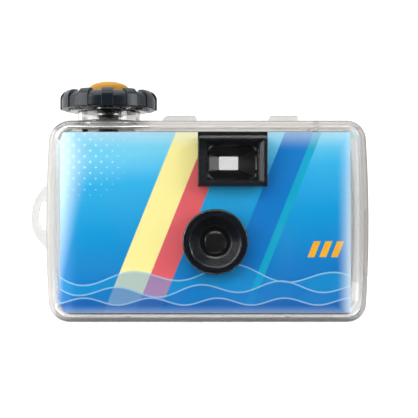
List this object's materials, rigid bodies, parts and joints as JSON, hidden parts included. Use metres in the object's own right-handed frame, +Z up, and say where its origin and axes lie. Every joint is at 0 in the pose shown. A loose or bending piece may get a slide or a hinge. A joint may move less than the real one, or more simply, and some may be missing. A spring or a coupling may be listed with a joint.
{
  "type": "waterproof single-use film camera",
  "caption": "Single-use film camera in a clear waterproof housing, with a wind knob, a shutter button through it, a strap lug and a printed card sleeve.",
  "frame": {"origin": "centre of the flat underside of the housing", "axes": "+X to the right seen from the front, -Y out of the lens, +Z up through the wind knob"},
  "size_m": [0.1323, 0.0438, 0.0918],
  "materials": {
    "clear_plastic": "clear, polished, very slightly grey",
    "seal_rubber": "smooth",
    "black_satin": "satin moulded",
    "black_gloss": "moulded, semi gloss",
    "steel": "bright",
    "cartridge_steel": "plain lacquer",
    "orange_plastic": "satin",
    "printed_card": "glossy printed card",
    "lens_glass": "polished",
    "white_plastic": "matt",
    "film_base": "film emulsion and base"
  },
  "bodies": {
    "housing": {"front_shell": "clear_plastic", "back_shell": "clear_plastic", "housing_seal": "seal_rubber", "camera_front_cover": "black_gloss", "camera_rear_cover": "black_gloss", "paper_sleeve": "printed_card", "lens_ring": "black_gloss", "taking_lens": "lens_glass", "lens_retainer": "black_satin", "finder_front_lens": "clear_plastic", "finder_eyepiece": "clear_plastic", "camera_body": "black_satin", "aperture_plate": "steel", "shutter_spring": "steel", "striker_spring": "steel", "counter_window": "clear_plastic", "film_cartridge": "cartridge_steel", "film_strip": "film_base"},
    "winder": {"wind_knob": "black_satin", "drive_shaft": "black_satin", "shaft_clip": "steel", "shaft_seal": "seal_rubber"},
    "button": {"shutter_button": "orange_plastic", "button_spring": "steel", "plunger": "steel", "plunger_seal": "seal_rubber", "cross_pin": "steel"},
    "collar": {"release_collar": "black_satin"},
    "release": {"camera_release": "black_satin"},
    "advance": {"thumbwheel": "black_satin", "cartridge_spool": "black_satin"},
    "supply": {"supply_spool": "black_satin", "film_roll": "film_base"},
    "sprocket": {"sprocket_wheel": "black_satin"},
    "counter": {"counter_disc": "white_plastic"},
    "shutter": {"shutter_blade": "steel"},
    "striker": {"striker_lever": "black_satin"}
  },
  "joints": [
    {"name": "knob_turn", "type": "hinge", "parent": "housing", "child": "winder", "pos_m": [-0.0385, 0.0005, 0.084], "axis": [0, 0, 1], "continuous": true},
    {"name": "button_press", "type": "slide", "parent": "winder", "child": "button", "axis": [0, 0, -1], "range_m": [0, 0.0016], "stiffness_N_per_m": 800, "springref_m": -0.0006, "deforming": ["button_spring"]},
    {"name": "collar_press", "type": "slide", "parent": "housing", "child": "collar", "axis": [0, 0, -1], "range_m": [0, 0.0016]},
    {"name": "release_press", "type": "slide", "parent": "housing", "child": "release", "axis": [0, 0, -1], "range_m": [0, 0.0016]},
    {"name": "film_wind", "type": "hinge", "parent": "housing", "child": "advance", "pos_m": [-0.0385, 0.0005, 0.06], "axis": [0, 0, 1], "continuous": true},
    {"name": "supply_turn", "type": "hinge", "parent": "housing", "child": "supply", "pos_m": [0.0395, 0.0005, 0.03], "axis": [0, 0, 1], "continuous": true},
    {"name": "sprocket_turn", "type": "hinge", "parent": "housing", "child": "sprocket", "pos_m": [-0.0175, 0.0044, 0.05], "axis": [0, 0, 1], "continuous": true},
    {"name": "counter_turn", "type": "hinge", "parent": "housing", "child": "counter", "pos_m": [-0.0145, 0.0035, 0.067], "axis": [0, 0, 1], "continuous": true},
    {"name": "shutter_swing", "type": "hinge", "parent": "housing", "child": "shutter", "pos_m": [0.0124, -0.0087, 0.033], "axis": [0, 1, 0], "range_deg": [-35, 0], "stiffness_Nm_per_rad": 0.0005, "springref_deg": 5.73},
    {"name": "striker_swing", "type": "hinge", "parent": "housing", "child": "striker", "pos_m": [-0.005, -0.0099, 0.0452], "axis": [0, 1, 0], "range_deg": [-22, 0], "stiffness_Nm_per_rad": 0.001, "springref_deg": 17.19}
  ],
  "couplings": [
    {"joint": "collar_press", "follows": "button_press", "ratio": 1},
    {"joint": "release_press", "follows": "button_press", "ratio": 1},
    {"joint": "film_wind", "follows": "knob_turn", "ratio": 1},
    {"joint": "supply_turn", "follows": "knob_turn", "ratio": 0.75},
    {"joint": "sprocket_turn", "follows": "knob_turn", "ratio": 1.15},
    {"joint": "counter_turn", "follows": "knob_turn", "ratio": -0.04}
  ]
}
